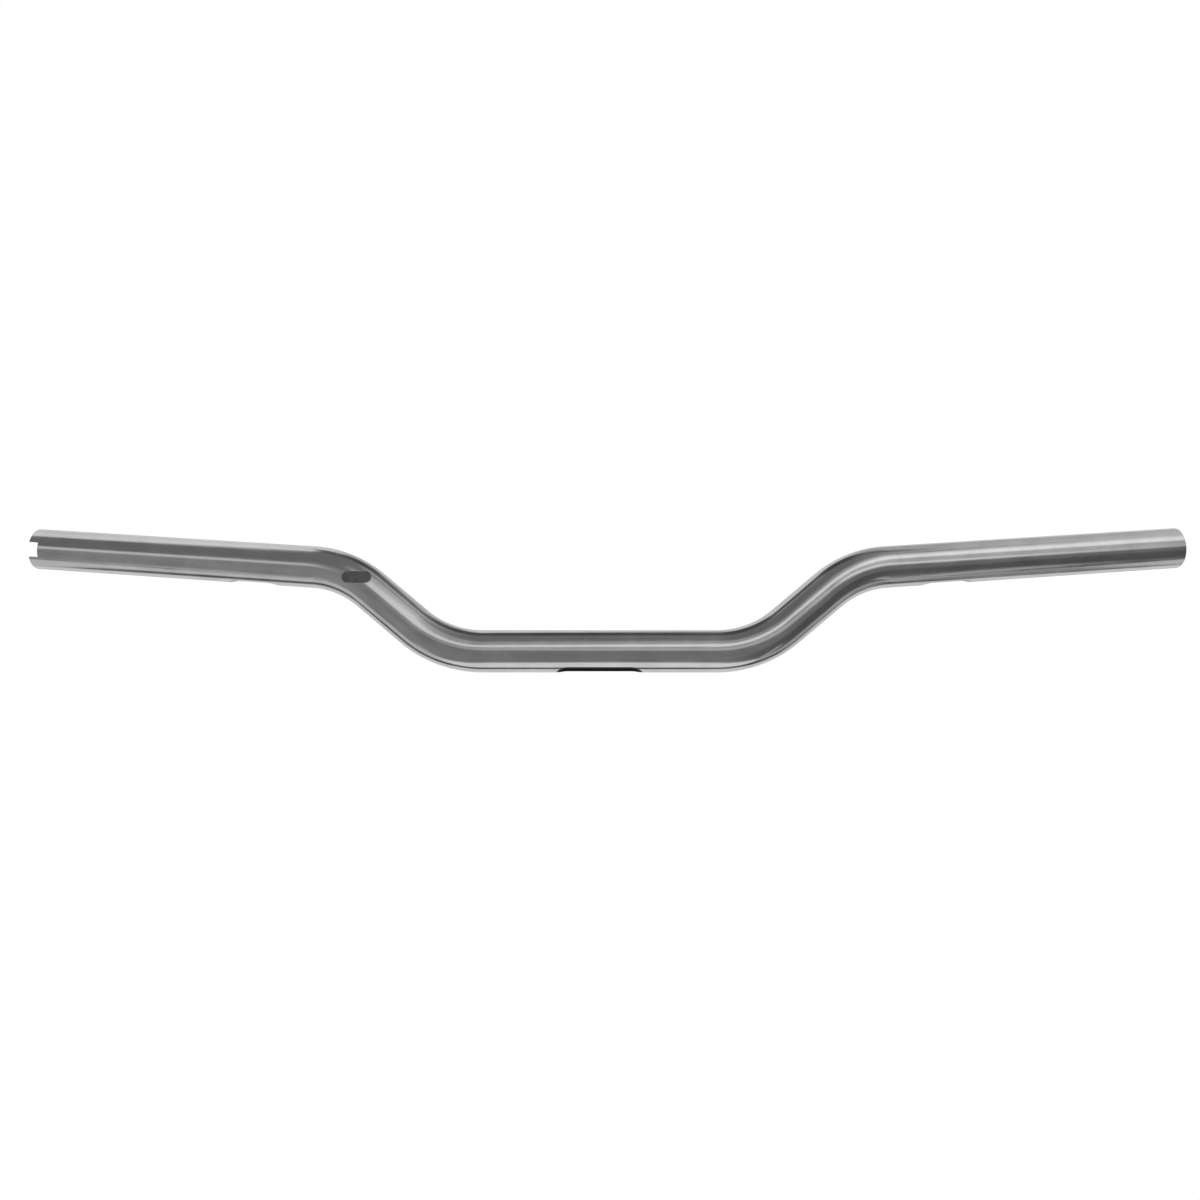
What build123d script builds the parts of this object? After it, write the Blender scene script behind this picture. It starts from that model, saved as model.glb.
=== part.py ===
from build123d import *
from build123d.topology import SkipClean
import math
import os

# One-inch motorcycle handlebar, bent from a single tube, with wire exits for internal wiring.
# Frame: origin at the middle of the clamp straight, on the tube's centre line.
# +X towards the rider's left grip, +Y rearward to the rider, +Z up. Millimetres.

# ---- tube stock ----
tube_diameter = 25.4
tube_wall = 3.05
tube_r = tube_diameter / 2
bore_r = tube_r - tube_wall

# ---- bar line, given as the corners its straight runs would meet at ----
clamp_corner_out = 94.3
grip_corner_out = 154.7
grip_corner_back = 11.3
grip_corner_up = 49.85
grip_back_slope = 0.254
grip_rise_slope = 0.0676
bend_radius = 65.0
throttle_side_length = 212.6
clutch_side_length = 221.4
end_chamfer = 0.5

# ---- wire exits and index notch ----
centre_slot_length = 51.6
centre_slot_width = 13.3
centre_slot_tilt = 11.3
side_slot_length = 31.8
side_slot_width = 9.8
side_slot_from_corner = 60.5
rim_chamfer = 0.35
notch_width = 9.2
notch_depth = 6.35
notch_below_front = 3.5

# ---- rubber liner in the centre wire exit ----
liner_thickness = 1.5
liner_recess = 0.2
liner_lip_overlap = 1.2
liner_lip_thickness = 1.0

# ---- printed mark on the front of the throttle-side upper bend ----
mark_length = 18.0
mark_height = 7.0
mark_film = 0.1
mark_out = 146.7
mark_up = 44.9

# ---- directions shared by the pieces ----
ORIGIN = Vector(0, 0, 0)
DOWN = Vector(0, 0, -1)
FRONT = Vector(0, -1, 0)
slot_tilt = math.radians(centre_slot_tilt)
centre_slot_down = DOWN * math.cos(slot_tilt) + FRONT * math.sin(slot_tilt)
centre_slot_plane = Plane(ORIGIN, x_dir=(1, 0, 0), z_dir=centre_slot_down)


class BarSide:
    """Where one half of the bar line runs, worked out from its corners and the bend radius."""

    def __init__(self, side, grip_line_length):
        lower_corner = Vector(side * clamp_corner_out, 0, 0)
        upper_corner = Vector(side * grip_corner_out, grip_corner_back, grip_corner_up)
        self.out = Vector(side, 0, 0)
        self.riser = (upper_corner - lower_corner).normalized()
        self.grip = Vector(side, grip_back_slope, grip_rise_slope).normalized()
        self.lower_bend = self.out.get_angle(self.riser)
        self.upper_bend = self.riser.get_angle(self.grip)
        lower_tangent = bend_radius * math.tan(math.radians(self.lower_bend) / 2)
        upper_tangent = bend_radius * math.tan(math.radians(self.upper_bend) / 2)
        self.clamp_length = clamp_corner_out - lower_tangent
        self.clamp_end = self.out * self.clamp_length
        self.riser_start = lower_corner + self.riser * lower_tangent
        self.riser_end = upper_corner - self.riser * upper_tangent
        self.riser_length = (self.riser_end - self.riser_start).length
        self.grip_start = upper_corner + self.grip * upper_tangent
        self.grip_length = grip_line_length - upper_tangent
        self.tip = upper_corner + self.grip * grip_line_length
        self.wire_exit = upper_corner + self.grip * side_slot_from_corner

    def square_to_grip(self, direction):
        """The given direction, turned square to the grip run."""
        return (direction - self.grip * direction.dot(self.grip)).normalized()


def bend_axis(start, arriving, leaving):
    """The line a bend turns about, for a tube that reaches start and turns towards leaving."""
    square = arriving.cross(leaving).normalized()
    inward = square.cross(arriving)
    return Axis(start + inward * bend_radius, square)


def outer_rim(edges, line_point, line_direction):
    """The edges where a wire exit breaks through the outside of a straight run."""
    rim = []
    for edge in edges:
        reach = edge.position_at(0.5) - line_point
        off_line = reach - line_direction * reach.dot(line_direction)
        if abs(off_line.length - tube_r) < 0.01 and edge.geom_type != GeomType.CIRCLE:
            rim.append(edge)
    return rim


def tube_section(start, direction):
    """The ring-shaped tube section, square to the bar line at start."""
    with BuildSketch(Plane(start, z_dir=direction)) as section:
        Circle(tube_r)
        Circle(bore_r, mode=Mode.SUBTRACT)
    return section.sketch


throttle = BarSide(-1, throttle_side_length)
clutch = BarSide(1, clutch_side_length)

# ---- the bar: clamp straight, lower bend, riser, upper bend and grip run on each side ----
with BuildPart() as handlebar_tube:
    for half in (throttle, clutch):
        with BuildPart(mode=Mode.PRIVATE) as half_tube:
            extrude(tube_section(ORIGIN, half.out), amount=half.clamp_length)
            lower_axis = bend_axis(half.clamp_end, half.out, half.riser)
            revolve(tube_section(half.clamp_end, half.out), lower_axis, half.lower_bend)
            extrude(tube_section(half.riser_start, half.riser), amount=half.riser_length)
            upper_axis = bend_axis(half.riser_end, half.riser, half.grip)
            revolve(tube_section(half.riser_end, half.riser), upper_axis, half.upper_bend)
            extrude(tube_section(half.grip_start, half.grip), amount=half.grip_length)

            # this half of the centre wire exit, with its rim deburred
            with BuildSketch(centre_slot_plane):
                SlotOverall(centre_slot_length, centre_slot_width)
            extrude(amount=tube_diameter, mode=Mode.SUBTRACT)
            chamfer(outer_rim(half_tube.edges(Select.LAST), ORIGIN, half.out), rim_chamfer)

            # the smaller wire exit under the inner end of the grip run
            exit_down = half.square_to_grip(DOWN)
            with BuildSketch(Plane(half.wire_exit, x_dir=half.grip, z_dir=exit_down)):
                SlotOverall(side_slot_length, side_slot_width)
            extrude(amount=tube_diameter, mode=Mode.SUBTRACT)
            chamfer(outer_rim(half_tube.edges(Select.LAST), half.tip, half.grip), rim_chamfer)

            # broken edges of the open end
            open_end = half_tube.faces().filter_by(Plane(half.tip, z_dir=half.grip)).sort_by_distance(half.tip)
            chamfer(open_end[0].edges(), end_chamfer)
        # the two halves keep their own faces, so each clamp land stays a whole round wall
        with SkipClean():
            add(half_tube.part)

    # index notch for an electronic throttle, in the front of the throttle end
    dip = math.radians(notch_below_front)
    notch_out = throttle.square_to_grip(FRONT) * math.cos(dip) + throttle.square_to_grip(DOWN) * math.sin(dip)
    with BuildSketch(Plane(throttle.tip, x_dir=throttle.grip, z_dir=notch_out)):
        Rectangle(2 * notch_depth, notch_width)
    with SkipClean():
        extrude(amount=tube_diameter, mode=Mode.SUBTRACT, clean=False)

# ---- black rubber liner that guards the wires in the centre exit ----
with BuildPart() as wire_exit_liner:
    with BuildSketch(centre_slot_plane):
        SlotOverall(centre_slot_length, centre_slot_width)
    extrude(amount=tube_diameter)
    with BuildSketch(Plane.YZ):
        Circle(tube_r - liner_recess)
        Circle(bore_r - liner_lip_thickness, mode=Mode.SUBTRACT)
    extrude(amount=centre_slot_length, both=True, mode=Mode.INTERSECT)
    with BuildPart(mode=Mode.PRIVATE) as inner_lip:
        with BuildSketch(centre_slot_plane):
            SlotOverall(
                centre_slot_length + 2 * liner_lip_overlap,
                centre_slot_width + 2 * liner_lip_overlap,
            )
        extrude(amount=tube_diameter)
        with BuildSketch(Plane.YZ):
            Circle(bore_r)
            Circle(bore_r - liner_lip_thickness, mode=Mode.SUBTRACT)
        extrude(amount=centre_slot_length, both=True, mode=Mode.INTERSECT)
    add(inner_lip.part)
    with BuildSketch(centre_slot_plane):
        SlotOverall(
            centre_slot_length - 2 * liner_thickness,
            centre_slot_width - 2 * liner_thickness,
        )
    extrude(amount=tube_diameter, mode=Mode.SUBTRACT)

# ---- thin printed film that follows the bend ----
with BuildPart() as printed_mark:
    with BuildSketch(Plane(throttle.riser_end, z_dir=throttle.riser)):
        Circle(tube_r + mark_film)
        Circle(tube_r, mode=Mode.SUBTRACT)
    upper_axis = bend_axis(throttle.riser_end, throttle.riser, throttle.grip)
    revolve(axis=upper_axis, revolution_arc=throttle.upper_bend)
    with BuildSketch(Plane((-mark_out, grip_corner_back, mark_up), x_dir=(1, 0, 0), z_dir=FRONT)):
        SlotOverall(mark_length, mark_height)
    extrude(amount=tube_diameter, mode=Mode.INTERSECT)

os.makedirs("parts", exist_ok=True)

handlebar_tube.part.label = "handlebar_tube"
export_step(handlebar_tube.part, "parts/handlebar_tube.step")

wire_exit_liner.part.label = "wire_exit_liner"
export_step(wire_exit_liner.part, "parts/wire_exit_liner.step")

printed_mark.part.label = "printed_mark"
export_step(printed_mark.part, "parts/printed_mark.step")
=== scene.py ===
import math

import bpy
from mathutils import Matrix, Vector
from mathutils.geometry import delaunay_2d_cdt


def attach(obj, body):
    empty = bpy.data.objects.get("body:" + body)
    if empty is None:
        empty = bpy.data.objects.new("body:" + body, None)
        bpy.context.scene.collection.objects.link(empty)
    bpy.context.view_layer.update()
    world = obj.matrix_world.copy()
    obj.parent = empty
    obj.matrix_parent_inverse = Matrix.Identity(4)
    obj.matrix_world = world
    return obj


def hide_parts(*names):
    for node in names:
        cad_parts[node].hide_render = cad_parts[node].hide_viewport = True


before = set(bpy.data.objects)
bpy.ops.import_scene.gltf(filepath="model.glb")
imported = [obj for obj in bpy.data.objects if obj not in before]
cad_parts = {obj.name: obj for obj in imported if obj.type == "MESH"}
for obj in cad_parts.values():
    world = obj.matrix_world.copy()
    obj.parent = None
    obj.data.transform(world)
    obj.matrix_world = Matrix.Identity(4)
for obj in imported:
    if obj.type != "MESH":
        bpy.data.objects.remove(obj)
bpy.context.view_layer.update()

# One-inch motorcycle handlebar in satin steel, bent from a single tube. It has a rubber-lined wire exit
# under its middle, a bare one under each grip, an index notch in its throttle end and a plain printed mark.
# Frame: origin at the middle of the clamp straight, +X towards the rider's left grip, +Y rearward, +Z up.

# ---- driving dimensions of the bar, in metres, the same as the CAD part's ----
MM = 0.001
TUBE_R = 12.7 * MM
BORE_R = 9.65 * MM
CLAMP_CORNER_OUT = 94.3 * MM
GRIP_CORNER = Vector((154.7, 11.3, 49.85)) * MM
GRIP_BACK_SLOPE = 0.254
GRIP_RISE_SLOPE = 0.0676
BEND_RADIUS = 65.0 * MM
THROTTLE_GRIP_LINE = 212.6 * MM
CLUTCH_GRIP_LINE = 221.4 * MM

CENTRE_SLOT = (51.6 * MM, 13.3 * MM)
CENTRE_SLOT_TILT = math.radians(11.3)
SIDE_SLOT = (31.8 * MM, 9.8 * MM)
SIDE_SLOT_FROM_CORNER = 60.5 * MM
NOTCH_WIDTH = 9.2 * MM
NOTCH_DEPTH = 6.35 * MM
NOTCH_BELOW_FRONT = math.radians(3.5)

LINER_THICKNESS = 1.5 * MM
LINER_LIP_OVERLAP = 1.2 * MM
LINER_LIP_THICKNESS = 1.0 * MM
LINER_MOUTH_ROUNDING = 0.5 * MM
LINER_LIP_ROUNDING = 0.4 * MM
LINER_SKIN_ROUNDING = 0.1 * MM
LINER_TIGHT_ROUNDING = 0.05 * MM
# the one dimension that isn't the CAD part's, which has 0.2 mm: here the rubber looks almost flush
LINER_RECESS = 0.06 * MM

MARK_SIZE = (18.0 * MM, 7.0 * MM)
MARK_CENTRE = (-146.7 * MM, 44.9 * MM)
MARK_FILM = 0.1 * MM

# ---- rounded rims of the steel; beside the rubber the outer one is only just broken ----
OUTER_RIM = 0.4 * MM
LINED_RIM = 0.12 * MM
INNER_RIM = 0.3 * MM

# ---- how finely the visible meshes are cut ----
COLUMNS = 96
COLUMN_STEP = 2 * math.pi / COLUMNS
FINE_ROWS = 1.5 * MM
BEND_ROWS = 1.8 * MM
COARSE_ROWS = 6 * MM
CENTRE_SLOT_PITCH = 1.0 * MM
SIDE_SLOT_PITCH = 0.9 * MM
LINER_PITCH = 0.8 * MM
LINER_ROUNDING_STEPS = 3
NOTCH_CORNER_STEPS = 4
NOTCH_SIDE_STEPS = 4
NOTCH_FLOOR_STEPS = 8
MARK_PITCH = 0.5 * MM
MARK_GRID = 0.7 * MM
MARK_GRID_SHARE = 0.93

# ---- how far the windows round the cut-outs reach, along the bar and round the tube ----
CENTRE_REACH = 31.5 * MM
CENTRE_SPREAD = math.radians(56)
SIDE_REACH = 21 * MM
SIDE_SPREAD = math.radians(45)
NOTCH_REACH = 12 * MM
NOTCH_SPREAD = math.radians(66)
CLEAR_OF_CUT = 0.6 * MM

# ---- lengths or angles closer than this are the same ----
TINY = 1e-9

DOWN = Vector((0, 0, -1))
FRONT = Vector((0, -1, 0))
CENTRE_SLOT_DOWN = DOWN * math.cos(CENTRE_SLOT_TILT) + FRONT * math.sin(CENTRE_SLOT_TILT)


# ---- the bar line, and places on the tube round it ----
class BarSide:
    """One half of the bar line as five runs, from the middle of the clamp straight out to the tip."""

    def __init__(self, side, grip_line):
        self.side = side
        lower_corner = Vector((side * CLAMP_CORNER_OUT, 0, 0))
        upper_corner = Vector((side * GRIP_CORNER.x, GRIP_CORNER.y, GRIP_CORNER.z))
        out = Vector((side, 0, 0))
        riser = (upper_corner - lower_corner).normalized()
        grip = Vector((side, GRIP_BACK_SLOPE, GRIP_RISE_SLOPE)).normalized()
        lower_turn = out.angle(riser)
        upper_turn = riser.angle(grip)
        lower_tangent = BEND_RADIUS * math.tan(lower_turn / 2)
        upper_tangent = BEND_RADIUS * math.tan(upper_turn / 2)
        riser_length = (upper_corner - lower_corner).length - lower_tangent - upper_tangent
        # each run is (length, axis it bends about, or None where it is straight)
        runs = [
            (CLAMP_CORNER_OUT - lower_tangent, None),
            (BEND_RADIUS * lower_turn, out.cross(riser).normalized()),
            (riser_length, None),
            (BEND_RADIUS * upper_turn, riser.cross(grip).normalized()),
            (grip_line - upper_tangent, None),
        ]
        self.starts = []
        self.length = 0.0
        state = (Vector((0, 0, 0)), out, DOWN, FRONT)
        for length, axis in runs:
            self.starts.append((self.length, state, axis))
            state = self.move(state, axis, length)
            self.length += length
        self.run_ends = [start[0] for start in self.starts[1:]] + [self.length]
        self.wire_exit = self.run_ends[3] + SIDE_SLOT_FROM_CORNER - upper_tangent

    @staticmethod
    def move(state, axis, length):
        """The point on the bar line and its three directions, further out by length along one run."""
        point, out, down, front = state
        if axis is None:
            return point + out * length, out, down, front
        turn = Matrix.Rotation(length / BEND_RADIUS, 3, axis)
        inward = axis.cross(out) * BEND_RADIUS
        return point + inward - turn @ inward, turn @ out, turn @ down, turn @ front

    def at(self, reach):
        """The point and its three directions, at a distance out from the middle of the bar."""
        for start, state, axis in reversed(self.starts):
            if reach >= start - TINY:
                return self.move(state, axis, reach - start)


throttle = BarSide(-1, THROTTLE_GRIP_LINE)
clutch = BarSide(1, CLUTCH_GRIP_LINE)
# places on the bar line that frame_at has already worked out
known_frames = {}


def frame_at(along):
    """(centre, +X-ward direction, down, front) along the bar line; the throttle side is negative."""
    if along not in known_frames:
        half = throttle if along < 0 else clutch
        point, out, down, front = half.at(abs(along))
        known_frames[along] = (point, out * half.side, down, front)
    return known_frames[along]


def radial(along, angle):
    """Outward direction on the tube: angle 0 is underneath, and a quarter turn on is the front."""
    _, _, down, front = frame_at(along)
    return down * math.cos(angle) + front * math.sin(angle)


def place(along, angle, radius):
    """The point at an angle and a distance from the bar line."""
    return frame_at(along)[0] + radial(along, angle) * radius


def angle_of(along, direction):
    """The angle on the tube that faces a direction."""
    _, _, down, front = frame_at(along)
    return math.atan2(direction.dot(front), direction.dot(down))


# ---- mesh building ----
class Shell:
    """A closed mesh in the making. Corners at one spot share a vertex, and each keeps its own normal."""

    # corners that round to the same part of a metre and of a column are at the same spot
    METRE_PARTS = 1e8
    COLUMN_PARTS = 100000

    def __init__(self):
        self.lookup = {}
        self.points = []
        self.unbent = []
        self.faces = []
        self.normals = []
        self.slots = []

    def vertex(self, along, angle, radius):
        """The number of the vertex at this spot, which is made if it is new."""
        turn = round(angle / COLUMN_STEP * self.COLUMN_PARTS) % (COLUMNS * self.COLUMN_PARTS)
        key = (round(along * self.METRE_PARTS), turn, round(radius * self.METRE_PARTS))
        if key not in self.lookup:
            self.lookup[key] = len(self.points)
            self.points.append(place(along, angle, radius))
            self.unbent.append((along, radius * math.cos(angle), radius * math.sin(angle)))
        return self.lookup[key]

    def face(self, corners, slot=0):
        """corners are (along, angle, radius, normal); the winding follows the normals."""
        ids = [self.vertex(*corner[:3]) for corner in corners]
        normals = [corner[3] for corner in corners]
        if len(set(ids)) < 3:
            return
        spots = [self.points[k] for k in ids]
        across = (spots[1] - spots[0]).cross(spots[2] - spots[0])
        if len(spots) == 4:
            across = (spots[2] - spots[0]).cross(spots[3] - spots[1])
        if across.dot(sum(normals, Vector((0, 0, 0)))) < 0:
            ids.reverse()
            normals.reverse()
        self.faces.append(ids)
        self.normals += normals
        self.slots.append(slot)

    def make(self, name, materials):
        """The finished object. Its unbent attribute holds each point's place on the tube before bending."""
        mesh = bpy.data.meshes.new(name)
        mesh.from_pydata(self.points, [], self.faces)
        mesh.polygons.foreach_set("material_index", self.slots)
        mesh.polygons.foreach_set("use_smooth", [True] * len(self.faces))
        unbent = mesh.attributes.new("unbent", "FLOAT_VECTOR", "POINT")
        unbent.data.foreach_set("vector", [value for point in self.unbent for value in point])
        mesh.normals_split_custom_set([normal.normalized() for normal in self.normals])
        for material in materials:
            mesh.materials.append(material)
        piece = bpy.data.objects.new(name, mesh)
        bpy.context.scene.collection.objects.link(piece)
        return piece


def inside_loops(point, loops):
    """Even-odd test against closed loops of (x, y)."""
    inside = False
    for loop in loops:
        for (ax, ay), (bx, by) in zip(loop, loop[1:] + loop[:1]):
            if (ay > point[1]) != (by > point[1]):
                if point[0] < ax + (point[1] - ay) / (by - ay) * (bx - ax):
                    inside = not inside
    return inside


def triangles_between(points, edges):
    """Delaunay triangles over the points that keep the given edges, as triples of point numbers."""
    result = delaunay_2d_cdt([Vector(point) for point in points], edges, [], 0, TINY)
    triangles, sources = result[2], result[3]
    return [[sources[corner][0] for corner in triangle] for triangle in triangles]


def pill_outline(length, width, pitch):
    """Points round a slot with round ends, as (x, y, outward x, outward y), evenly spaced."""
    radius, half = width / 2, (length - width) / 2
    straight = round(2 * half / pitch)
    bend = round(math.pi * radius / pitch)
    points = []
    for end in (1, -1):
        for k in range(bend):
            turn = (k / bend - 0.5) * math.pi
            nx, ny = end * math.cos(turn), end * math.sin(turn)
            points.append((end * half + radius * nx, radius * ny, nx, ny))
        for k in range(straight):
            points.append((end * (half - 2 * half * k / straight), end * radius, 0, end))
    return points


# ---- edges of the tube's openings: each gives its loop at any depth, and which way its wall faces ----
class SlotEdge:
    """The edge of a pill-shaped wire exit, cut square to the bar line through one wall."""

    def __init__(self, along, direction, size, pitch, outer_rim=OUTER_RIM):
        self.along = along
        self.outer_rim = outer_rim
        self.angle = angle_of(along, direction)
        self.outline = pill_outline(*size, pitch)
        _, line, down, front = frame_at(along)
        across = front * math.cos(self.angle) - down * math.sin(self.angle)
        self.walls = [-(line * nx + across * ny) for _, _, nx, ny in self.outline]

    def loop(self, offset, radius):
        """(along, angle) round the cut at one radius, moved back into the metal by offset."""
        return [
            (self.along + x + nx * offset, self.angle + math.asin((y + ny * offset) / radius))
            for x, y, nx, ny in self.outline
        ]


class PlainEnd:
    """The edge of an open end, cut square."""

    outer_rim = OUTER_RIM

    def __init__(self, half):
        self.tip = half.side * half.length
        self.side = half.side
        self.walls = [frame_at(self.tip)[1] * half.side] * COLUMNS

    def loop(self, offset, radius):
        """(along, angle) round the end, which is the same at every radius."""
        return [(self.tip - self.side * offset, k * COLUMN_STEP) for k in range(COLUMNS)]


class NotchedEnd:
    """The edge of the throttle end: its open circle, with the index notch milled into the front."""

    outer_rim = OUTER_RIM
    TIP_CORNER = 0.5 * MM
    INNER_CORNER = 0.7 * MM
    # the least room between the notch and the circle's first point, and how far round from the notch the
    # circle's points keep to the columns at every radius
    CIRCLE_GAP = 0.4 * COLUMN_STEP
    STEADY_FROM = math.radians(60)

    def __init__(self, half):
        self.tip = half.side * half.length
        self.angle = angle_of(self.tip, FRONT) - NOTCH_BELOW_FRONT
        self.reach = NOTCH_WIDTH / 2 + self.TIP_CORNER
        self.notch = self.notch_outline()
        near = math.asin(self.reach / TUBE_R) + self.CIRCLE_GAP
        first = math.ceil((self.angle + near) / COLUMN_STEP)
        last = math.floor((self.angle + 2 * math.pi - near) / COLUMN_STEP)
        self.circle = [k * COLUMN_STEP - self.angle for k in range(first, last + 1)]
        _, line, down, front = frame_at(self.tip)
        across = front * math.cos(self.angle) - down * math.sin(self.angle)
        self.walls = [-(line * nx + across * ny) for _, _, nx, ny in self.notch]
        self.walls += [-line] * len(self.circle)

    def notch_outline(self):
        """From the lower tip corner round the notch to the upper one, as (depth, across, into the metal)."""
        half, tip, inner = NOTCH_WIDTH / 2, self.TIP_CORNER, self.INNER_CORNER
        turns = [k / NOTCH_CORNER_STEPS * math.pi / 2 for k in range(NOTCH_CORNER_STEPS + 1)]
        side = []
        for turn in turns:
            nx, ny = math.cos(turn), math.sin(turn)
            side.append((tip - tip * nx, half + tip - tip * ny, nx, ny))
        for k in range(1, NOTCH_SIDE_STEPS):
            side.append((tip + k / NOTCH_SIDE_STEPS * (NOTCH_DEPTH - inner - tip), half, 0, 1))
        for turn in turns:
            nx, ny = math.sin(turn), math.cos(turn)
            side.append((NOTCH_DEPTH - inner + inner * nx, half - inner + inner * ny, nx, ny))
        lower = [(x, -y, nx, -ny) for x, y, nx, ny in side]
        floor = [
            (NOTCH_DEPTH, (half - inner) * (2 * k / NOTCH_FLOOR_STEPS - 1), 1, 0)
            for k in range(1, NOTCH_FLOOR_STEPS)
        ]
        return lower + floor + side[::-1]

    def loop(self, offset, radius):
        """(along, angle) round the notch and then the circle, moved back into the metal by offset.

        The notch takes up more of a smaller circle, so the circle's points near it make room for it.
        """
        loop = [
            (self.tip + x + nx * offset, self.angle + math.asin((y + ny * offset) / radius))
            for x, y, nx, ny in self.notch
        ]
        outer, here = math.asin(self.reach / TUBE_R), math.asin(self.reach / radius)
        for turn in self.circle:
            away = min(turn, 2 * math.pi - turn)
            if away < self.STEADY_FROM:
                moved = here + (away - outer) * (self.STEADY_FROM - here) / (self.STEADY_FROM - outer)
                turn += (moved - away) * (1 if turn < math.pi else -1)
            loop.append((self.tip + offset, self.angle + turn))
        return loop

    def line_between(self, low, high, offset, radius):
        """The part of the loop between two angles, from below the notch, round it and on above it."""
        loop = self.loop(offset, radius)
        below, above = [], []
        for along, angle in loop[len(self.notch):]:
            away = (angle - self.angle + math.pi) % (2 * math.pi) - math.pi
            if low + TINY < away + self.angle < high - TINY:
                side = below if away < 0 else above
                side.append((along, away + self.angle))
        return below + loop[:len(self.notch)] + above


def rim_profile(outer_rim):
    """From the tube's skin over the outer rim, down the wall and over the inner rim to the bore.

    Each point is (offset from the cut, radius, radial share of the normal, wall share of the normal).
    """
    profile = []
    for degrees in (0, 30, 60, 90):
        turn = math.radians(degrees)
        profile.append((
            outer_rim * (1 - math.sin(turn)), TUBE_R - outer_rim * (1 - math.cos(turn)),
            math.cos(turn), math.sin(turn),
        ))
    for degrees in (0, 45, 90):
        turn = math.radians(degrees)
        profile.append((
            INNER_RIM * (1 - math.cos(turn)), BORE_R + INNER_RIM * (1 - math.sin(turn)),
            -math.sin(turn), math.cos(turn),
        ))
    return profile


def sweep_edge(shell, edge, profile):
    """A profile, in rim_profile's form, swept round an edge as quads."""
    rings = []
    for offset, radius, radial_share, wall_share in profile:
        rings.append([
            (along, angle, radius, radial(along, angle) * radial_share + wall * wall_share)
            for (along, angle), wall in zip(edge.loop(offset, radius), edge.walls)
        ])
    for upper, lower in zip(rings, rings[1:]):
        for k in range(len(upper)):
            after = (k + 1) % len(upper)
            shell.face([upper[k], upper[after], lower[after], lower[k]])


# ---- the steel tube ----
def spread(low, high, pitch):
    """Evenly spaced values from low up to, but not including, high."""
    count = max(1, math.ceil((high - low) / pitch))
    return [low + (high - low) * k / count for k in range(count)]


def side_rows(half):
    """Row positions along one side, from the centre window out to the tip."""
    ends, exit_at = half.run_ends, half.wire_exit
    rows = spread(CENTRE_REACH, ends[0], COARSE_ROWS)
    rows += spread(ends[0], ends[1], BEND_ROWS)
    rows += spread(ends[1], ends[2], COARSE_ROWS)
    rows += spread(ends[2], ends[3], BEND_ROWS)
    rows += spread(ends[3], exit_at - SIDE_REACH, COARSE_ROWS)
    rows += spread(exit_at - SIDE_REACH, exit_at + SIDE_REACH, FINE_ROWS)
    rows += spread(exit_at + SIDE_REACH, half.length - NOTCH_REACH, COARSE_ROWS)
    rows += spread(half.length - NOTCH_REACH, half.length, FINE_ROWS)
    return rows


def skin_rows(end_rim):
    """Row positions along a whole skin, which stops short of both ends by the width of their rims."""
    rows = [-row for row in reversed(side_rows(throttle))]
    rows += spread(-CENTRE_REACH, CENTRE_REACH, FINE_ROWS)[1:] + side_rows(clutch)
    return [-throttle.length + end_rim] + rows + [clutch.length - end_rim]


class Window:
    """A patch of a skin's grid that is left out round a cut-out, between two rows and two columns."""

    def __init__(self, low, high, angle, spread_angle):
        self.low = low
        self.high = high
        self.first = round((angle - spread_angle) / COLUMN_STEP)
        self.last = round((angle + spread_angle) / COLUMN_STEP)

    def covers(self, low, high, column):
        """Whether the grid's face between two rows, at a column, is in the patch."""
        inside = self.low - TINY <= low and high <= self.high + TINY
        return inside and (column - self.first) % COLUMNS < self.last - self.first

    def border_and_grid(self, rows):
        """(along, angle) round the patch, from its low corner, and of the grid's points inside it."""
        inner = [row for row in rows if self.low - TINY <= row <= self.high + TINY]
        angles = [k * COLUMN_STEP for k in range(self.first, self.last + 1)]
        border = [(inner[0], angle) for angle in angles]
        border += [(row, angles[-1]) for row in inner[1:]]
        border += [(inner[-1], angle) for angle in angles[-2::-1]]
        border += [(row, angles[0]) for row in inner[-2:0:-1]]
        grid = [(row, angle) for row in inner[1:-1] for angle in angles[1:-1]]
        return border, grid


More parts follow.
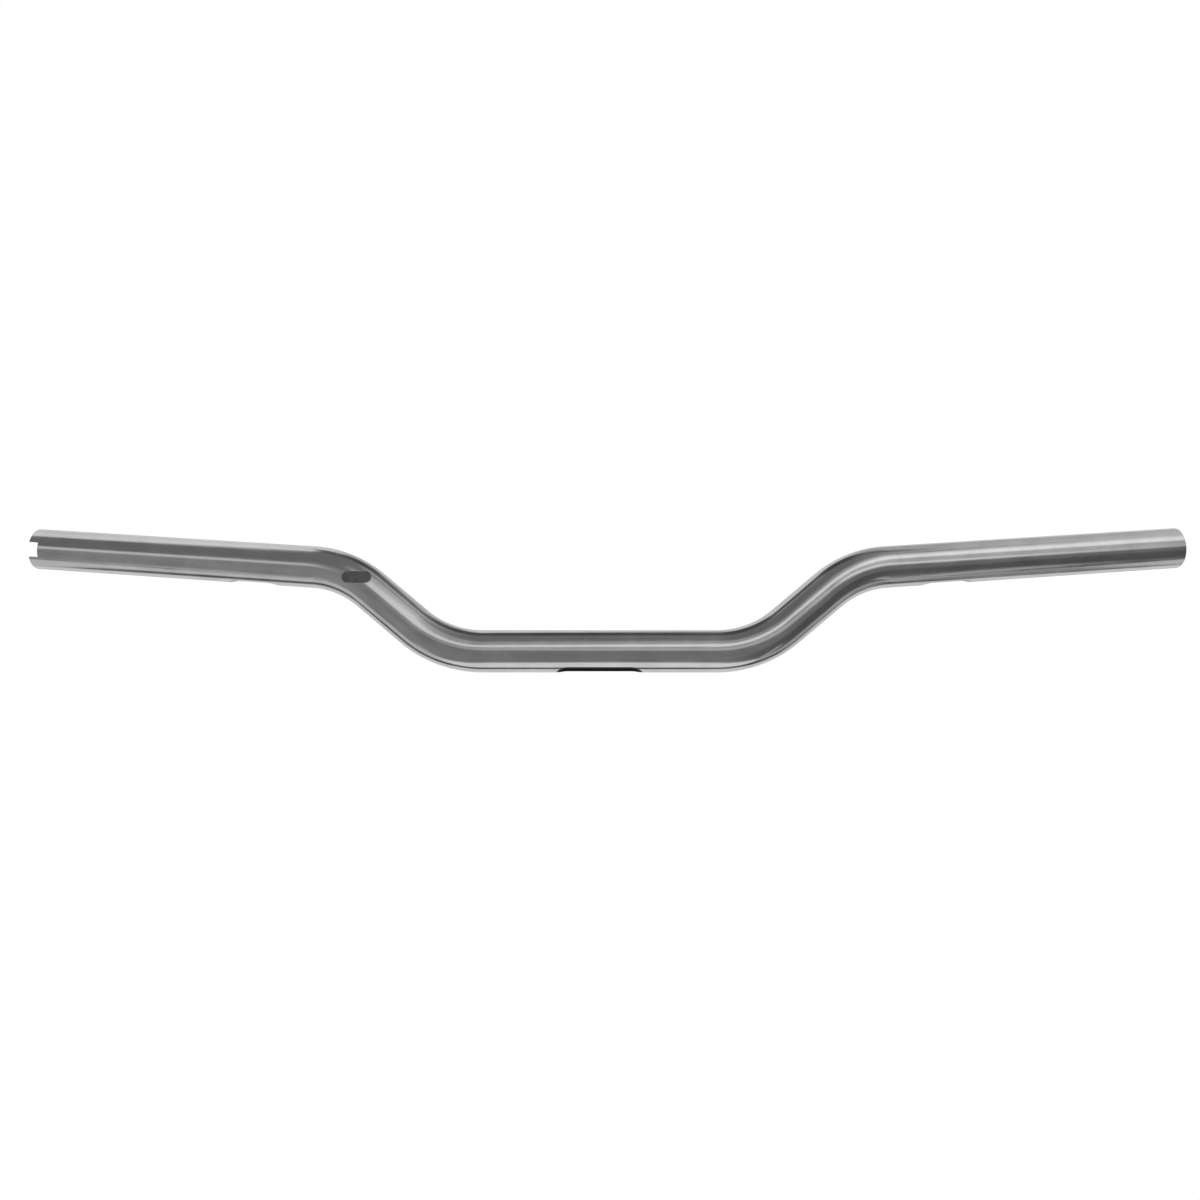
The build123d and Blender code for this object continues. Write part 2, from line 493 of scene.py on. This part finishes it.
class Skin:
    """One round skin of the tube: the outside, which faces outward, or the bore, which faces inward."""

    def __init__(self, shell, radius, facing, slot):
        self.shell = shell
        self.radius = radius
        self.facing = facing
        self.slot = slot

    def rim_of(self, edge):
        """How far this skin stops short of an edge, to leave room for the rounded rim."""
        return edge.outer_rim if self.radius == TUBE_R else INNER_RIM

    def face(self, corners):
        """A face of the skin through (along, angle) corners."""
        self.shell.face([
            (along, angle, self.radius, radial(along, angle) * self.facing) for along, angle in corners
        ], self.slot)

    def fill(self, loops, cut, grid):
        """Triangles between the loops, through the grid points that stay clear of the cut."""
        flat_loops = [[(along, self.radius * angle) for along, angle in loop] for loop in loops]
        flat_cut = [(along, self.radius * angle) for along, angle in cut]
        points, edges = [], []
        for loop in flat_loops:
            first = len(points)
            points += loop
            edges += [(first + k, first + (k + 1) % len(loop)) for k in range(len(loop))]
        for along, angle in grid:
            here = (along, self.radius * angle)
            nearest = min(math.dist(here, point) for point in flat_cut)
            if nearest > CLEAR_OF_CUT and inside_loops(here, flat_loops):
                points.append(here)
        for triangle in triangles_between(points, edges):
            corners = [points[k] for k in triangle]
            middle = [sum(values) / 3 for values in zip(*corners)]
            if inside_loops(middle, flat_loops):
                self.face([(x, y / self.radius) for x, y in corners])

    def fill_notch(self, rows, window, notched_end):
        """Triangles over the notch's window, from the notched end to the rows of the grid beyond it."""
        border, grid = window.border_and_grid(rows)
        low_corner = (rows[0], window.first * COLUMN_STEP)
        high_corner = (rows[0], window.last * COLUMN_STEP)
        end_rim = self.rim_of(notched_end)
        line = notched_end.line_between(low_corner[1], high_corner[1], end_rim, self.radius)
        near_side = [low_corner] + line + [high_corner]
        far_side = [point for point in border if point[0] > rows[0] + TINY]
        self.fill([near_side + far_side], near_side, grid)

    def build(self, cuts, notched_end):
        """The whole skin: its grid of quads, and triangles round each cut and round the notch."""
        rows = skin_rows(self.rim_of(notched_end))
        notch_window = Window(rows[0], -throttle.length + NOTCH_REACH, notched_end.angle, NOTCH_SPREAD)
        windows = [window for _, window in cuts] + [notch_window]
        for low, high in zip(rows, rows[1:]):
            for column in range(COLUMNS):
                if not any(window.covers(low, high, column) for window in windows):
                    corners = ((low, column), (low, column + 1), (high, column + 1), (high, column))
                    self.face([(along, k * COLUMN_STEP) for along, k in corners])
        for edge, window in cuts:
            border, grid = window.border_and_grid(rows)
            cut = edge.loop(self.rim_of(edge), self.radius)
            self.fill([border, cut], cut, grid)
        self.fill_notch(rows, notch_window, notched_end)


def build_tube(outer_steel, bore_steel):
    """The whole bent tube as one closed mesh: skin, bore, wire exits, notch and rounded rims."""
    shell = Shell()
    centre = SlotEdge(0.0, CENTRE_SLOT_DOWN, CENTRE_SLOT, CENTRE_SLOT_PITCH, LINED_RIM)
    cuts = [(centre, Window(-CENTRE_REACH, CENTRE_REACH, centre.angle, CENTRE_SPREAD))]
    for half in (throttle, clutch):
        at = half.side * half.wire_exit
        exit_edge = SlotEdge(at, DOWN, SIDE_SLOT, SIDE_SLOT_PITCH)
        cuts.append((exit_edge, Window(at - SIDE_REACH, at + SIDE_REACH, exit_edge.angle, SIDE_SPREAD)))
    notched_end, plain_end = NotchedEnd(throttle), PlainEnd(clutch)
    Skin(shell, TUBE_R, 1, 0).build(cuts, notched_end)
    Skin(shell, BORE_R, -1, 1).build(cuts, notched_end)
    for edge in [edge for edge, _ in cuts] + [notched_end, plain_end]:
        sweep_edge(shell, edge, rim_profile(edge.outer_rim))
    return shell.make("steel_tube", [outer_steel, bore_steel])


# ---- the rubber edging ----
def liner_profile():
    """The section of the edging, a channel with a lip behind the steel, in rim_profile's form."""
    top, under = TUBE_R - LINER_RECESS, BORE_R - LINER_LIP_THICKNESS
    # corners as (offset from the slot's edge, radius, rounding), going round once
    corners = [
        (-LINER_THICKNESS, top, LINER_MOUTH_ROUNDING),
        (0, top, LINER_SKIN_ROUNDING),
        (0, BORE_R, LINER_TIGHT_ROUNDING),
        (LINER_LIP_OVERLAP, BORE_R, LINER_TIGHT_ROUNDING),
        (LINER_LIP_OVERLAP, under, LINER_LIP_ROUNDING),
        (-LINER_THICKNESS, under, LINER_LIP_ROUNDING),
    ]
    profile = []
    for k, (x, y, rounding) in enumerate(corners):
        before, after = corners[k - 1], corners[(k + 1) % len(corners)]
        arrive = Vector((x - before[0], y - before[1])).normalized()
        leave = Vector((after[0] - x, after[1] - y)).normalized()
        middle = Vector((x, y)) + (leave - arrive) * rounding
        # the normal points away from the middle of an outer corner, and towards that of an inner one
        side = 1 if arrive.x * leave.y - arrive.y * leave.x < 0 else -1
        for step in range(LINER_ROUNDING_STEPS + 1):
            turn = step / LINER_ROUNDING_STEPS * math.pi / 2
            from_middle = (arrive * math.sin(turn) - leave * math.cos(turn)) * rounding
            normal = from_middle.normalized() * side
            point = middle + from_middle
            profile.append((point.x, point.y, normal.y, -normal.x))
    return profile + profile[:1]


def build_liner(rubber):
    """The rubber edging in the centre wire exit: a soft-cornered channel swept round the slot."""
    shell = Shell()
    sweep_edge(shell, SlotEdge(0.0, CENTRE_SLOT_DOWN, CENTRE_SLOT, LINER_PITCH), liner_profile())
    return shell.make("rubber_edging", [rubber])


# ---- the printed mark ----
def on_front(x, z, radius):
    """(along, angle) of the point on the throttle side's front that has this x and z, by Newton's method."""
    rounds = 12
    nudge = 1e-5
    along, angle = -(throttle.run_ends[2] + throttle.run_ends[3]) / 2, math.pi / 2
    for _ in range(rounds):
        here = place(along, angle, radius)
        by_along = (place(along + nudge, angle, radius) - here) / nudge
        by_angle = (place(along, angle + nudge, radius) - here) / nudge
        dx, dz = x - here.x, z - here.z
        scale = by_along.x * by_angle.z - by_along.z * by_angle.x
        along += (dx * by_angle.z - dz * by_angle.x) / scale
        angle += (by_along.x * dz - by_along.z * dx) / scale
    return along, angle


def mark_points(outline):
    """(x, y) of the outline's points, then of a grid a little inside them."""
    points = [(x, y) for x, y, _, _ in outline]
    inset = [(MARK_GRID_SHARE * x, MARK_GRID_SHARE * y) for x, y in points]
    half_columns, half_rows = (math.ceil(size / 2 / MARK_GRID) for size in MARK_SIZE)
    for i in range(-half_columns, half_columns + 1):
        for j in range(-half_rows, half_rows + 1):
            spot = (i * MARK_GRID, j * MARK_GRID)
            if inside_loops(spot, [inset]):
                points.append(spot)
    return points


def build_mark(ink):
    """A plain pill-shaped mark, a thin closed film that follows the bend."""
    shell = Shell()
    x0, z0 = MARK_CENTRE
    outline = pill_outline(*MARK_SIZE, MARK_PITCH)
    points = mark_points(outline)
    edges = [(k, (k + 1) % len(outline)) for k in range(len(outline))]
    top, base = TUBE_R + MARK_FILM, TUBE_R
    spots = [on_front(x0 + x, z0 + y, top) for x, y in points]
    for triangle in triangles_between(points, edges):
        for radius, facing in ((top, 1), (base, -1)):
            shell.face([(*spots[k], radius, radial(*spots[k]) * facing) for k in triangle])
    walls = [Vector((nx, 0, ny)) for _, _, nx, ny in outline]
    for k, after in edges:
        shell.face([
            (*spots[k], top, walls[k]), (*spots[after], top, walls[after]),
            (*spots[after], base, walls[after]), (*spots[k], base, walls[k]),
        ])
    return shell.make("bar_mark", [ink])


# ---- materials ----
class NodeMaterial:
    """A material with a Principled shader, and short ways to add the nodes that feed it."""

    def __init__(self, name):
        self.material = bpy.data.materials.new(name)
        self.material.use_nodes = True
        self.tree = self.material.node_tree
        self.shader = self.tree.nodes["Principled BSDF"]
        self.unbent = self.tree.nodes.new("ShaderNodeAttribute")
        self.unbent.attribute_name = "unbent"

    def link(self, source, target):
        """Join a node's output to any input."""
        self.tree.links.new(source, target)

    def feed(self, source, name):
        """Let a node's output drive one of the shader's inputs."""
        self.link(source, self.shader.inputs[name])

    def fix(self, name, value):
        """Give one of the shader's inputs the same value all over."""
        self.shader.inputs[name].default_value = value

    def noise(self, scale, detail, roughness=0.5):
        """Noise over the unbent tube; scale is features per metre, along the bar and twice across it."""
        mapping = self.tree.nodes.new("ShaderNodeMapping")
        mapping.inputs["Scale"].default_value = scale
        texture = self.tree.nodes.new("ShaderNodeTexNoise")
        texture.inputs["Scale"].default_value = 1.0
        texture.inputs["Detail"].default_value = detail
        texture.inputs["Roughness"].default_value = roughness
        self.link(self.unbent.outputs["Vector"], mapping.inputs["Vector"])
        self.link(mapping.outputs["Vector"], texture.inputs["Vector"])
        return texture.outputs["Fac"]

    def ramp(self, source, stops):
        """Greys at positions of the source value, as (position, grey)."""
        ramp = self.tree.nodes.new("ShaderNodeValToRGB")
        elements = ramp.color_ramp.elements
        while len(elements) < len(stops):
            elements.new(0.5)
        for element, (position, grey) in zip(elements, stops):
            element.position = position
            element.color = (grey, grey, grey, 1)
        self.link(source, ramp.inputs["Fac"])
        return ramp.outputs["Color"]

    def mix(self, first, second, share):
        """Two values mixed, with this share of the second."""
        mix = self.tree.nodes.new("ShaderNodeMix")
        mix.data_type = "FLOAT"
        mix.inputs["Factor"].default_value = share
        self.link(first, mix.inputs["A"])
        self.link(second, mix.inputs["B"])
        return mix.outputs["Result"]

    def bump(self, height, distance, strength, under=None):
        """The surface roughened by a height, on top of the bump under it, if there is one."""
        bump = self.tree.nodes.new("ShaderNodeBump")
        bump.inputs["Strength"].default_value = strength
        bump.inputs["Distance"].default_value = distance
        self.link(height, bump.inputs["Height"])
        if under is not None:
            self.link(under, bump.inputs["Normal"])
        return bump.outputs["Normal"]


def polished_steel():
    """Satin-polished tube: fine grain along the bar, soft cloudy patches and a slightly wavy surface."""
    steel = NodeMaterial("polished_steel")
    grain = steel.noise((30, 4200, 4200), 4, 0.65)
    lines = steel.noise((9, 420, 420), 4, 0.6)
    clouds = steel.noise((45, 70, 70), 5, 0.62)
    waves = steel.noise((22, 55, 55), 2)
    streaks = steel.mix(grain, lines, 0.5)
    tone = steel.mix(clouds, streaks, 0.45)
    gloss = steel.mix(clouds, streaks, 0.5)
    steel.fix("Metallic", 1.0)
    steel.feed(steel.ramp(tone, [(0.38, 0.49), (0.5, 0.56), (0.62, 0.62)]), "Base Color")
    steel.feed(steel.ramp(gloss, [(0.38, 0.10), (0.62, 0.20)]), "Roughness")
    wavy = steel.bump(waves, 0.09 * MM, 0.6)
    steel.feed(steel.bump(streaks, 0.004 * MM, 0.8, wavy), "Normal")
    return steel.material


def raw_bore_steel():
    """The drawn, unpolished inside of the tube: darker, duller, with draw lines along it."""
    steel = NodeMaterial("raw_bore_steel")
    lines = steel.noise((12, 1500, 1500), 4)
    patches = steel.noise((90, 120, 120), 3)
    steel.fix("Metallic", 1.0)
    steel.feed(steel.ramp(steel.mix(lines, patches, 0.5), [(0.3, 0.16), (0.7, 0.30)]), "Base Color")
    steel.feed(steel.ramp(patches, [(0.3, 0.38), (0.7, 0.55)]), "Roughness")
    steel.feed(steel.bump(lines, 0.02 * MM, 0.7), "Normal")
    return steel.material


def black_rubber():
    """The moulded edging: matt black, with a fine skin and slight wear."""
    rubber = NodeMaterial("black_rubber")
    skin = rubber.noise((1800, 1800, 1800), 3)
    wear = rubber.noise((160, 160, 160), 3)
    rubber.fix("Specular IOR Level", 0.25)
    rubber.feed(rubber.ramp(wear, [(0.35, 0.010), (0.7, 0.018)]), "Base Color")
    rubber.feed(rubber.ramp(wear, [(0.3, 0.55), (0.7, 0.7)]), "Roughness")
    rubber.feed(rubber.bump(skin, 0.03 * MM, 0.4), "Normal")
    return rubber.material


def dark_etch():
    """The printed mark: dark grey, a little worn and speckled."""
    ink = NodeMaterial("dark_etch")
    speckle = ink.noise((4500, 4500, 4500), 2)
    wear = ink.noise((300, 300, 300), 4, 0.6)
    tone = ink.mix(wear, speckle, 0.4)
    ink.feed(ink.ramp(tone, [(0.3, 0.035), (0.55, 0.055), (0.75, 0.10)]), "Base Color")
    ink.feed(ink.ramp(wear, [(0.3, 0.38), (0.7, 0.55)]), "Roughness")
    ink.feed(ink.bump(speckle, 0.01 * MM, 0.5), "Normal")
    return ink.material


# ---- studio: a white room, with soft grey cards that only the reflections see ----
CARD_STEPS = 12
FLOOR_REACH = 6.0
# far enough below the bar that it can also be looked at from underneath
FLOOR_DROP = 1.5


def glow_material(name, tint):
    """A surface that gives off an even light."""
    material = bpy.data.materials.new(name)
    material.use_nodes = True
    tree = material.node_tree
    tree.nodes.clear()
    light = tree.nodes.new("ShaderNodeEmission")
    light.inputs["Color"].default_value = (*tint, 1)
    output = tree.nodes.new("ShaderNodeOutputMaterial")
    tree.links.new(light.outputs["Emission"], output.inputs["Surface"])
    return material


def card_material(name, tint):
    """A glow as bright as the mesh's glow attribute, and clear where its cover attribute is 0."""
    material = glow_material(name, tint)
    tree = material.node_tree
    light = tree.nodes["Emission"]
    clear = tree.nodes.new("ShaderNodeBsdfTransparent")
    mix = tree.nodes.new("ShaderNodeMixShader")
    for attribute, target in (("glow", light.inputs["Strength"]), ("cover", mix.inputs["Fac"])):
        reader = tree.nodes.new("ShaderNodeAttribute")
        reader.attribute_name = attribute
        tree.links.new(reader.outputs["Fac"], target)
    tree.links.new(clear.outputs["BSDF"], mix.inputs[1])
    tree.links.new(light.outputs["Emission"], mix.inputs[2])
    tree.links.new(mix.outputs["Shader"], tree.nodes["Material Output"].inputs["Surface"])
    return material


def fade(distance, soft):
    """0 at a card's edge, rising smoothly to 1 at a distance of soft inside it."""
    share = min(1.0, max(0.0, distance / soft))
    return share * share * (3 - 2 * share)


def card_direction(side, roll):
    """The direction from the bar to a spot on a card, as add_card's rungs give it."""
    a, b = math.radians(side), math.radians(roll)
    return Vector((math.sin(a), -math.cos(a) * math.cos(b), math.cos(a) * math.sin(b)))


def add_card(name, reach, soft, tint, rungs):
    """A card curved round the bar at the distance of reach, in front of those that are further away.

    Each rung is (side, low, high, glow), in degrees: side runs from the left (negative) to the right, and
    low and high roll round the X axis, from 0 at the camera's side to 90 overhead and -90 underneath.
    """
    points, glows, covers, faces = [], [], [], []
    columns = (len(rungs) - 1) * CARD_STEPS
    for i in range(columns + 1):
        k = min(i // CARD_STEPS, len(rungs) - 2)
        share = i / CARD_STEPS - k
        side, low, high, glow = (a + (b - a) * share for a, b in zip(rungs[k], rungs[k + 1]))
        end_fade = fade(min(side - rungs[0][0], rungs[-1][0] - side), soft)
        for j in range(CARD_STEPS + 1):
            roll = low + (high - low) * j / CARD_STEPS
            points.append(card_direction(side, roll) * reach)
            glows.append(glow)
            covers.append(end_fade * fade(min(roll - low, high - roll), soft))
    for i in range(columns):
        for j in range(CARD_STEPS):
            first = i * (CARD_STEPS + 1) + j
            faces.append((first, first + 1, first + CARD_STEPS + 2, first + CARD_STEPS + 1))
    mesh = bpy.data.meshes.new(name)
    mesh.from_pydata(points, [], faces)
    mesh.attributes.new("glow", "FLOAT", "POINT").data.foreach_set("value", glows)
    mesh.attributes.new("cover", "FLOAT", "POINT").data.foreach_set("value", covers)
    mesh.materials.append(card_material(name, tint))
    card = bpy.data.objects.new(name, mesh)
    bpy.context.scene.collection.objects.link(card)
    card.visible_camera = False
    card.visible_diffuse = False
    card.visible_shadow = False


WHITE = (1, 1, 1)
WARM = (1, 0.98, 0.95)

# name, reach in metres, softness of the edges in degrees, tint, rungs; from the furthest to the nearest
CARDS = [
    # the room behind the bar
    ("back_wall", 12.0, 10, WHITE, [(-80, 118, 244, 0.85), (80, 118, 244, 0.85)]),
    ("back_panel", 11.9, 8, WHITE, [(-80, 158, 202, 0.3), (80, 158, 202, 0.3)]),
    # the room on the camera's side, warmer to the left, and its grey ceiling
    ("front_wall", 11.8, 4, WHITE, [
        (-75, -78, 30, 0.34), (-42, -80, 30, 0.33), (-36, -88, 30, 0.33), (-22, -80, 30, 0.26),
        (0, -64, 30, 0.26), (14, -76, 30, 0.23), (24, -83, 30, 0.225), (32, -97, 30, 0.22),
        (75, -97, 30, 0.15),
    ]),
    ("warm_wall", 11.75, 6, WARM, [(-75, -74, 26, 0.34), (-40, -76, 24, 0.33), (-18, -70, 8, 0.26)]),
    ("overhead", 11.7, 7, WHITE, [
        (-75, 22, 88, 0.21), (-28, 20, 93, 0.21), (-18, 21, 106, 0.21), (0, 26, 108, 0.22),
        (26, 56, 104, 0.38), (34, 60, 104, 0.68), (75, 64, 110, 0.76),
    ]),
    # lighter walls to the right
    ("right_back", 11.6, 8, WHITE, [
        (-4, 92, 150, 0.5), (10, 92, 150, 0.52), (20, 84, 150, 0.6), (28, 86, 150, 0.72),
        (75, 82, 150, 0.76),
    ]),
    ("right_wall", 11.5, 6, WHITE, [
        (12, 2, 36, 0.52), (30, 5, 60, 0.6), (40, 9, 66, 0.6), (75, 11, 84, 0.6),
    ]),
    # the key light, which climbs to the right, with its softer skirt and lower edge
    ("key_skirt", 11.4, 8, WHITE, [
        (-14, 22, 54, 0.34), (4, 25, 65, 0.52), (14, 29, 71, 0.6), (24, 38, 79, 0.73),
        (34, 48, 104, 0.9), (75, 62, 130, 0.9),
    ]),
    ("key", 11.3, 5, WHITE, [
        (-20, 19, 28, 0.5), (-4, 21, 38, 1.05), (10, 26, 52, 1.06), (22, 36, 64, 1.2),
        (34, 50, 80, 1.25), (75, 64, 112, 1.2),
    ]),
    ("low_key", 11.2, 3, WHITE, [
        (-24, 9, 16, 0.32), (-10, 8, 20, 0.46), (-2, 5, 21, 0.62), (18, 4, 21, 0.62),
    ]),
    # the lamps that draw the light line along each grip
    ("right_spot", 11.1, 4, WHITE, [(18, 9, 27, 1.12), (46, 14, 27, 1.0)]),
    ("left_spot", 11.0, 6, WHITE, [(-60, 5, 30, 0.84), (-32, 5, 25, 0.72)]),
    # the darkest part of the room, low on the right
    ("dark_corner", 10.9, 8, WHITE, [
        (14, -76, -44, 0.19), (30, -86, -26, 0.15), (46, -80, -10, 0.12), (80, -70, -2, 0.11),
    ]),
    # strips of light low down, for the second, thin line along each grip
    ("right_streak", 10.85, 4, WHITE, [
        (26, -92, -82, 0.45), (32, -86, -73, 0.62), (36, -79, -66, 0.76), (40, -73, -54, 0.52),
        (44, -70, -50, 0.25),
    ]),
    ("left_streak", 10.84, 3, WHITE, [
        (-46, -60, -50, 0.45), (-42, -68, -58, 0.58), (-38, -74, -64, 0.68), (-34, -82, -71, 0.68),
        (-28, -88, -76, 0.62),
    ]),
    # light from underneath, and the dark corners behind it that draw the lower line
    ("under_left", 10.8, 6, WHITE, [
        (-75, -107, -66, 0.72), (-42, -106, -73, 0.72), (-38, -106, -77, 0.72), (-34, -105, -83, 0.72),
        (-30, -104, -80, 0.74), (-24, -104, -76, 0.74),
    ]),
    ("under_right", 10.7, 6, WHITE, [(22, -104, -84, 0.52), (36, -104, -85, 0.58), (75, -104, -79, 0.52)]),
    ("left_corner", 10.6, 4, WHITE, [
        (-75, -144, -105, 0.14), (-36, -128, -100, 0.14), (-16, -120, -98, 0.14),
    ]),
    ("right_corner", 10.5, 4, WHITE, [
        (14, -118, -98, 0.13), (32, -128, -99, 0.14), (42, -134, -101, 0.24), (75, -146, -103, 0.3),
    ]),
    # cards close to the bar, each of which shows on one stretch of it: dark lines above and below the
    # clamp straight and the risers, and the glow under both tips
    ("over_shade", 0.61, 8, WHITE, [(-38, 52, 96, 0.2), (-14, 56, 96, 0.23), (-2, 66, 96, 0.19)]),
    ("over_flag", 0.6, 6, WHITE, [
        (-31, 91, 122, 0.15), (-24, 91, 121, 0.15), (-15, 92, 120, 0.12), (-9, 93, 127, 0.09),
        (0, 93, 130, 0.08), (9, 92, 131, 0.1), (14, 92, 124, 0.16), (18, 92, 118, 0.2),
        (28, 91, 113, 0.17), (38, 88, 103, 0.17),
    ]),
    ("under_flag", 0.6, 3, WHITE, [(-38, -114, -96, 0.08), (0, -114, -96, 0.08), (36, -114, -96, 0.08)]),
    ("left_tip_glow", 0.59, 3, WHITE, [(-78, -150, -84, 0.74), (-59, -150, -84, 0.74)]),
    ("right_tip_glow", 0.58, 3, WHITE, [
        (44, -128, -96, 0.3), (60, -128, -96, 0.36), (67, -150, -96, 0.72), (80, -150, -96, 0.75),
    ]),
]


def build_floor():
    """A white floor that the camera sees, and that neither lights the bar nor shows in it."""
    mesh = bpy.data.meshes.new("floor")
    sides = ((-1, -1), (1, -1), (1, 1), (-1, 1))
    corners = [(x * FLOOR_REACH, y * FLOOR_REACH, -FLOOR_DROP) for x, y in sides]
    mesh.from_pydata(corners, [], [(0, 1, 2, 3)])
    mesh.materials.append(glow_material("pale_floor", WHITE))
    floor = bpy.data.objects.new("floor", mesh)
    bpy.context.scene.collection.objects.link(floor)
    floor.visible_glossy = False
    floor.visible_diffuse = False
    floor.visible_shadow = False


def build_studio():
    """The white room, its cards and its floor."""
    world = bpy.data.worlds.new("white_room")
    bpy.context.scene.world = world
    world.use_nodes = True
    background = world.node_tree.nodes["Background"]
    background.inputs["Color"].default_value = (*WHITE, 1)
    background.inputs["Strength"].default_value = 1.0
    for card in CARDS:
        add_card(*card)
    build_floor()


# ---- camera: lens and sensor in millimetres, place in metres, turn to the left in radians ----
LENS = 51.0
SENSOR_WIDTH = 36.0
CAMERA_PLACE = (0.00655, -1.02656, 0.03100)
CAMERA_TURN = 0.00607


def build_camera():
    """At the photograph's viewing angle: level, a metre in front and a little above the clamp straight."""
    data = bpy.data.cameras.new("camera")
    data.lens = LENS
    data.sensor_width = SENSOR_WIDTH
    data.clip_start = 0.01
    data.clip_end = 50
    camera = bpy.data.objects.new("camera", data)
    camera.location = CAMERA_PLACE
    camera.rotation_euler = (math.pi / 2, 0, CAMERA_TURN)
    bpy.context.scene.collection.objects.link(camera)
    bpy.context.scene.camera = camera


# ---- the scene ----
build_camera()
tube = build_tube(polished_steel(), raw_bore_steel())
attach(tube, "root")
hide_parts("handlebar_tube")

liner = build_liner(black_rubber())
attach(liner, "root")
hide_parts("wire_exit_liner")

mark = build_mark(dark_etch())
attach(mark, "root")
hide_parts("printed_mark")

build_studio()
bpy.context.scene.view_settings.view_transform = "Standard"
